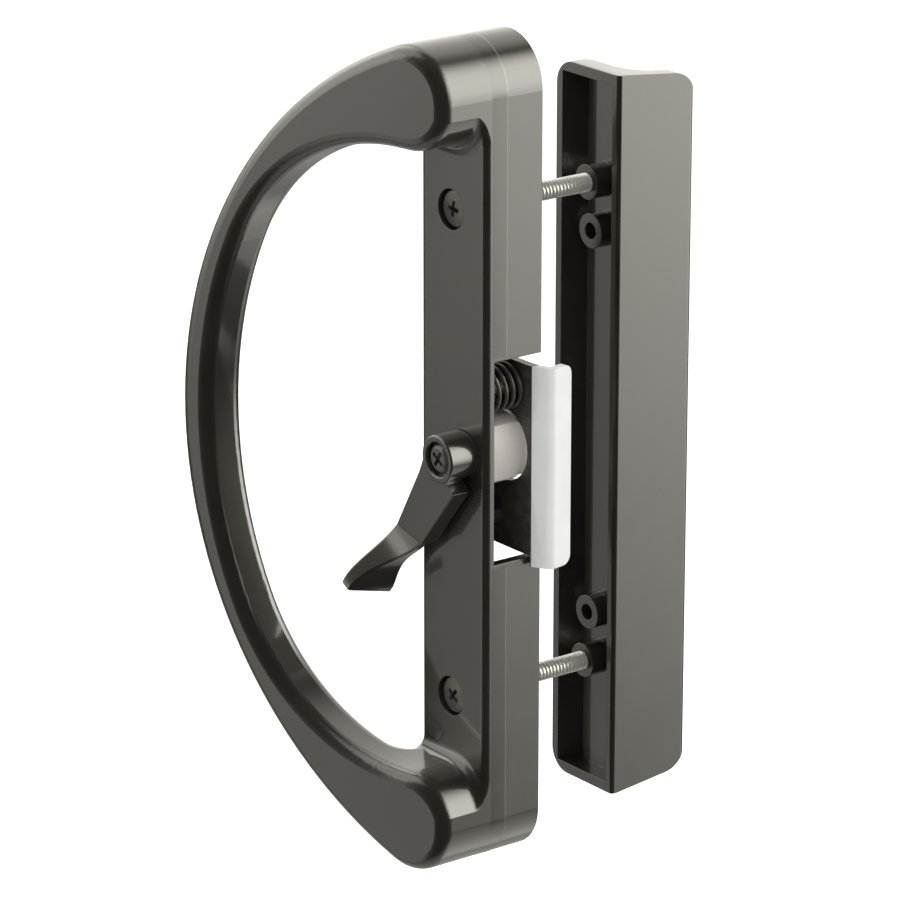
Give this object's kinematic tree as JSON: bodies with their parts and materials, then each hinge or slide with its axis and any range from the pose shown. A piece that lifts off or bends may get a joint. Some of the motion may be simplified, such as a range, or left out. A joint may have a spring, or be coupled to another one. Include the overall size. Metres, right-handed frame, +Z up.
{
  "type": "sliding patio door handle",
  "caption": "Sliding patio door handle set: a D-shaped inside pull with thumb lever and sprung hook clamp, bolted through the door stile to an L-shaped outside pull.",
  "frame": {"origin": "midway between the two mounting screw axes, on the plane of the inside handle's back rim, which lies on the door's inner face", "axes": "+Y along the mounting screws toward the outside, -Y toward the room, +Z up along the door stile, +X toward the jamb that the hook clamp catches"},
  "size_m": [0.0952, 0.0949, 0.2106],
  "materials": {
    "black_paint": "semi-gloss black powder coat on zinc die casting",
    "zinc_steel": "bright zinc plate on steel",
    "black_steel": "black phosphate on steel",
    "nylon": "natural white nylon, as moulded",
    "chrome": "bright chrome plate on bent steel sheet"
  },
  "bodies": {
    "frame": {"interior_handle": "black_paint", "exterior_pull": "black_paint", "mounting_screws": "zinc_steel", "guide_pins": "black_steel", "guide_pin_clips": "black_steel", "clamp_spring": "black_steel"},
    "lever": {"thumb_lever": "black_paint", "lever_screw": "black_steel", "lever_washer": "nylon", "cam_barrel": "nylon"},
    "clamp": {"hook_clamp": "chrome", "cam_follower_pin": "zinc_steel"}
  },
  "joints": [
    {"name": "lever_turn", "type": "hinge", "parent": "frame", "child": "lever", "pos_m": [0.0046, -0.017, 0.002], "axis": [0, 1, 0], "range_deg": [0, 80], "stiffness_Nm_per_rad": 0.0094, "springref_deg": -45.84},
    {"name": "clamp_slide", "type": "slide", "parent": "frame", "child": "clamp", "axis": [0, 1, 0], "range_m": [-0.0035, 0], "deforming": ["clamp_spring"]}
  ],
  "couplings": [
    {"joint": "clamp_slide", "follows": "lever_turn", "m_per_rad": -0.0025}
  ]
}
